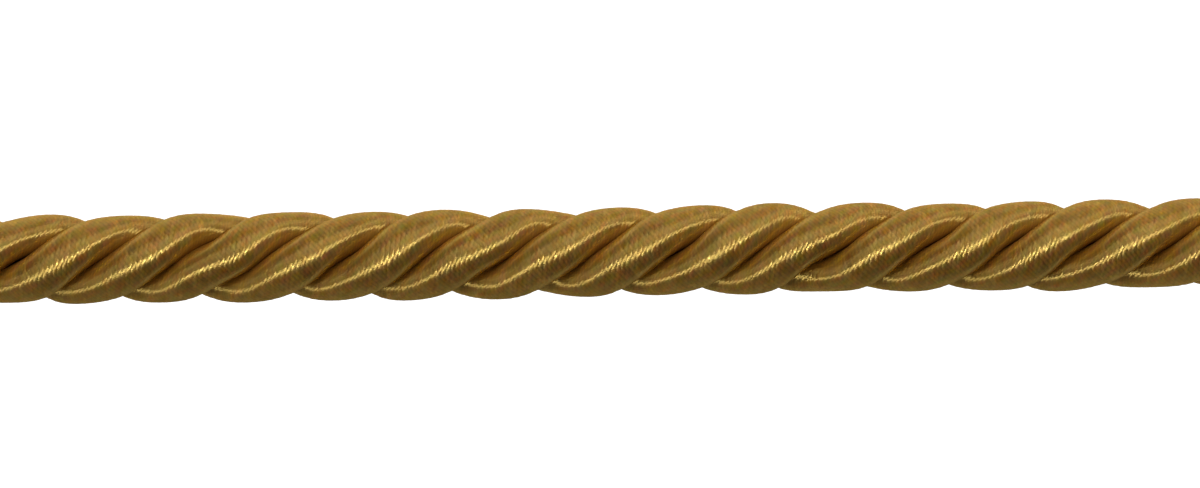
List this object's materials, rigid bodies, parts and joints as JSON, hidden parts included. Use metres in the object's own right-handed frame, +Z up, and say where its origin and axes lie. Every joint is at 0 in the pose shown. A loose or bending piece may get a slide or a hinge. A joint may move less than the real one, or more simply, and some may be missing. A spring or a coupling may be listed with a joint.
{
  "type": "upholstery cord",
  "caption": "Cut length of thick twisted cord in gold satin yarn, its strands laid up left-handed, for trimming seams and edges of furniture and cushions.",
  "frame": {"origin": "bottom centre of the bounding box: on the surface that the cord rests on, midway between its cut ends and under its axis", "axes": "+X along the cord, +Z up from the surface, +Y across it; seen from above, the strands rise from -Y towards +Y as X grows"},
  "size_m": [0.156, 0.0094, 0.0093],
  "materials": {
    "satin": "gold satin yarn wrapped side by side around each strand, with a narrow silky sheen"
  },
  "bodies": {
    "root": {"cord": "satin"}
  },
  "joints": []
}
